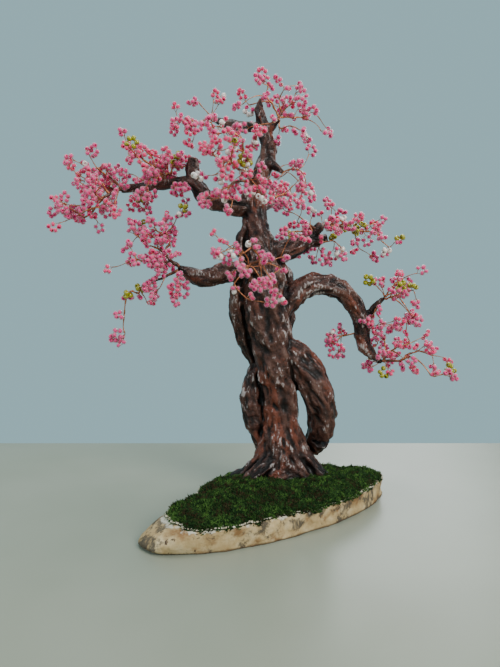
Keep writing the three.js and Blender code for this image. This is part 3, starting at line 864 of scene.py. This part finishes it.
def bent(start, end, leave, arrive, steps):
    """Curves from start to end with given directions there: a cubic Hermite spline of each pair."""
    t = np.linspace(0.0, 1.0, steps)[None, :, None]
    span = np.linalg.norm(end - start, axis=1)[:, None, None]
    first, last = start[:, None], end[:, None]
    return (
        (2 * t**3 - 3 * t**2 + 1) * first + (t**3 - 2 * t**2 + t) * span * leave[:, None]
        + (3 * t**2 - 2 * t**3) * last + (t**3 - t**2) * span * arrive[:, None]
    )


stem_paths = bent(stems["start"], stems["end"], stems["leave"], stems["arrive"], STEM_STEPS)
stem_radius = STEM_RADIUS * stems["load"] ** STEM_GROWTH
stem_radius = stem_radius[:, None] * np.linspace(1.12, 0.95, STEM_STEPS)[None]
bound = stems["load"] >= BOUND_FROM
copper_stems = add_mesh(
    "copper_stems", *tubes(stem_paths[~bound], stem_radius[~bound], STEM_SIDES, twist=5.0, strands=0.24)
)
bound_stems = add_mesh(
    "bound_stems", *tubes(stem_paths[bound], stem_radius[bound], BOUND_SIDES, twist=2.6, strands=0.12)
)

copper, place = paint("copper_wire")
tarnish = place.noise(420.0, detail=3.0)
finish_paint(
    copper, place, Base_Color=tarnish.ramp((0.35, (0.35, 0.112, 0.046)), (0.7, (0.58, 0.205, 0.085))),
    Metallic=0.55, Roughness=0.38,
)
copper_stems.data.materials.append(copper)
bound_paint, place = paint("bound_wire")
smear = place.noise(330.0, detail=4.0)
finish_paint(
    bound_paint, place, Base_Color=smear.ramp((0.40, (0.06, 0.024, 0.014)), (0.62, (0.26, 0.075, 0.028))),
    Roughness=0.45, bump=smear, bump_depth=0.15 * MM,
)
bound_stems.data.materials.append(bound_paint)
for piece in (copper_stems, bound_stems):
    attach(piece, "root")
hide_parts(*[name for _, _, masses in SPRAYS.values() for name in masses])

# ---- The blossoms ----------------------------------------------------------------------------
# A blossom is two to six round glass beads threaded into a loop. Most beads are clear glass with a
# pink lining in the hole, some are pearl white, and loops of leaf green ones stand for leaves.
BEAD_RADIUS = 1.30 * MM
BEAD_HALF = 0.97 * MM
BEAD_HOLE = 0.42 * MM
BEAD_PITCH = 2.2 * MM
LINING_RADIUS = 0.95 * MM
BEAD_ROUND = 8
LOOP_WIRE = 0.14 * MM
LOOP_STEPS = 10
LOOP_STRETCH = 1.08
LOOP_STAND = 0.9 * MM
LOOP_WAVE = 0.22 * MM
BEAD_STRAY = 0.22 * MM
BARE_WIRE = 0.75
LOOP_SIDES = 3
DEEP_BELOW = 0.55
# The numbers of beads that a blossom may have, and the share of blossoms with each.
BLOSSOM_SIZES = ([2, 3, 4, 5, 6], [0.14, 0.24, 0.28, 0.22, 0.12])
# By spray: a measure of how many white beads it has, and its share of green blossoms. A spray that
# isn't named has few of either. White beads come in some blossoms only, with pink ones among them.
PALE_BLOSSOMS = 1.6
WHITE_IN_PALE = 0.48
FEW_WHITE = 0.03
FEW_GREEN = 0.012
WHITE_SHARE = {
    "blossom_centre": 0.13, "blossom_left_outer": 0.05, "blossom_left_inner": 0.05,
    "blossom_lower_left": 0.04, "blossom_front": 0.11, "blossom_right_mid": 0.06,
    "blossom_arch_end": 0.05, "blossom_right_upper": 0.05,
}
GREEN_SHARE = {
    "blossom_right_upper": 0.06, "blossom_left_inner": 0.02, "blossom_left_outer": 0.03,
    "blossom_right_mid": 0.04, "blossom_arch_upper": 0.06, "blossom_arch_end": 0.05,
    "blossom_lower_left": 0.012, "blossom_back_upper": 0.04,
}

rng = np.random.default_rng(77)
spray_names = list(SPRAYS)
spot, toward = blossoms["spot"], unit(blossoms["toward"])
bead_count = rng.choice(BLOSSOM_SIZES[0], len(spot), p=BLOSSOM_SIZES[1])
loop_radius = BEAD_PITCH * (bead_count + BARE_WIRE) / (2 * np.pi)
side = unit(np.cross(toward, rng.normal(size=toward.shape)))
loop_middle = spot + toward * (loop_radius + LOOP_STAND)[:, None]
upright = np.cross(toward, side)


def on_loop(which, angle):
    """Points and directions on loops: ellipses a little longer towards their tip, wavy sideways."""
    r = loop_radius[which][:, None]
    out, wide, lift = toward[which], side[which], upright[which]
    along, aside = np.cos(angle)[:, None], np.sin(angle)[:, None]
    wave = LOOP_WAVE * np.sin(2 * angle + which)[:, None]
    here = loop_middle[which] - LOOP_STRETCH * r * along * out + r * aside * wide
    way = LOOP_STRETCH * aside * out + along * wide
    return here + wave * lift, unit(way)


bead_blossom = np.repeat(np.arange(len(spot)), bead_count)
first_bead = np.repeat(np.cumsum(bead_count) - bead_count, bead_count)
bead_number = np.arange(len(bead_blossom)) - first_bead
bead_angle = 2 * np.pi * (bead_number + 0.5 + BARE_WIRE / 2) / (bead_count[bead_blossom] + BARE_WIRE)
bead_place, bead_axis = on_loop(bead_blossom, bead_angle)
bead_axis = unit(bead_axis + 0.14 * rng.normal(size=bead_axis.shape))
bead_place = bead_place + rng.normal(size=bead_place.shape) * BEAD_STRAY
bead_scale = rng.uniform(0.90, 1.06, len(bead_place))

spray_of = blossoms["spray"]
white_share = np.array([WHITE_SHARE.get(name, FEW_WHITE) for name in spray_names])[spray_of]
green_share = np.array([GREEN_SHARE.get(name, FEW_GREEN) for name in spray_names])[spray_of]
is_green = rng.random(len(spot)) < green_share
pale = rng.random(len(spot)) < PALE_BLOSSOMS * white_share
bead_white = pale[bead_blossom] & (rng.random(len(bead_blossom)) < WHITE_IN_PALE)
bead_white &= ~is_green[bead_blossom]
bead_kind = np.where(is_green[bead_blossom], "green", np.where(bead_white, "white", "pink"))
shade_roll = (rng.random(len(spot)) + 0.5 * rng.random(len(SPRAYS))[spray_of])[bead_blossom]


def revolved(profile, chosen):
    """Rings turned from a closed profile of (radius, height) round each chosen bead's hole."""
    turn = 2 * np.pi * np.arange(BEAD_ROUND) / BEAD_ROUND
    axis, scale = bead_axis[chosen], bead_scale[chosen]
    first, second = across(axis)
    arm = first[:, None] * np.cos(turn)[None, :, None] + second[:, None] * np.sin(turn)[None, :, None]
    ring = profile[None, :, None, :1] * arm[:, None] + profile[None, :, None, 1:] * axis[:, None, None]
    points = bead_place[chosen][:, None, None] + ring * scale[:, None, None, None]
    rows = len(profile)
    i, j = np.meshgrid(np.arange(rows), np.arange(BEAD_ROUND), indexing="ij")
    below, beside = (i + 1) % rows, (j + 1) % BEAD_ROUND
    face = np.stack([
        i * BEAD_ROUND + j, i * BEAD_ROUND + beside, below * BEAD_ROUND + beside, below * BEAD_ROUND + j
    ], -1).reshape(-1, 4)
    offset = np.arange(len(points))[:, None, None] * rows * BEAD_ROUND
    return points.reshape(-1, 3), (offset + face).reshape(-1, 4)


BEAD = np.array([
    [BEAD_HOLE, -0.45 * BEAD_HALF], [0.72 * BEAD_RADIUS, -BEAD_HALF], [BEAD_RADIUS, -0.42 * BEAD_HALF],
    [BEAD_RADIUS, 0.42 * BEAD_HALF], [0.72 * BEAD_RADIUS, BEAD_HALF], [BEAD_HOLE, 0.45 * BEAD_HALF],
])
LINING = np.array([
    [0.95 * BEAD_HOLE, -0.66 * BEAD_HALF], [LINING_RADIUS, -0.58 * BEAD_HALF],
    [LINING_RADIUS, 0.58 * BEAD_HALF], [0.95 * BEAD_HOLE, 0.66 * BEAD_HALF],
])


def glass(name, colour, roughness=0.12, **sockets):
    """A bead finish in one colour."""
    material, place = paint(name)
    return finish_paint(material, place, Base_Color=colour, Roughness=roughness, **sockets)


pink_glass, place = paint("clear_glass")
glancing = place.node("LayerWeight", {"Blend": 0.5}, output="Facing")
finish_paint(
    pink_glass, place, Base_Color=(0.85, 0.64, 0.64), Alpha=0.07 + 0.60 * glancing * glancing,
    Roughness=0.12, Coat_Weight=0.35, Coat_Roughness=0.04,
)
linings = {
    "lining_deep": (
        shade_roll < DEEP_BELOW,
        glass("deep_pink_lining", (0.88, 0.006, 0.150), roughness=0.3, Specular_IOR_Level=0.25),
    ),
    "lining_rose": (
        shade_roll >= DEEP_BELOW,
        glass("rose_pink_lining", (0.80, 0.030, 0.21), roughness=0.3, Specular_IOR_Level=0.25),
    ),
}
pearl = glass("pearl_white", (0.80, 0.71, 0.65), Coat_Weight=0.5, Coat_Roughness=0.06)
leaf = glass("leaf_green", (0.33, 0.30, 0.008), Coat_Weight=0.5, Coat_Roughness=0.06)


def bead_piece(name, profile, chosen, material):
    """Adds one kind of bead as a joined piece."""
    piece = add_mesh(name, *revolved(profile, np.flatnonzero(chosen)))
    piece.data.materials.append(material)
    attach(piece, "root")


thirds = np.searchsorted(np.quantile(bead_place[:, 0], [1 / 3, 2 / 3]), bead_place[:, 0])
for third, side_name in enumerate(("left", "middle", "right")):
    bead_piece("pink_glass_" + side_name, BEAD, (thirds == third) & (bead_kind == "pink"), pink_glass)
for lining, (chosen, material) in linings.items():
    bead_piece(lining, LINING, (bead_kind == "pink") & chosen, material)
bead_piece("pearl_beads", BEAD, bead_kind == "white", pearl)
bead_piece("leaf_beads", BEAD, bead_kind == "green", leaf)

loop_angle = np.linspace(0.0, 2 * np.pi, LOOP_STEPS)
every = np.arange(len(spot))
loop_paths = np.stack([on_loop(every, np.full(len(spot), angle))[0] for angle in loop_angle], 1)
loop_paths[:, 0] = loop_paths[:, -1] = spot
loops = add_mesh("loop_wires", *tubes(loop_paths, np.full(loop_paths.shape[:2], LOOP_WIRE), LOOP_SIDES))
loops.data.materials.append(copper)
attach(loops, "root")
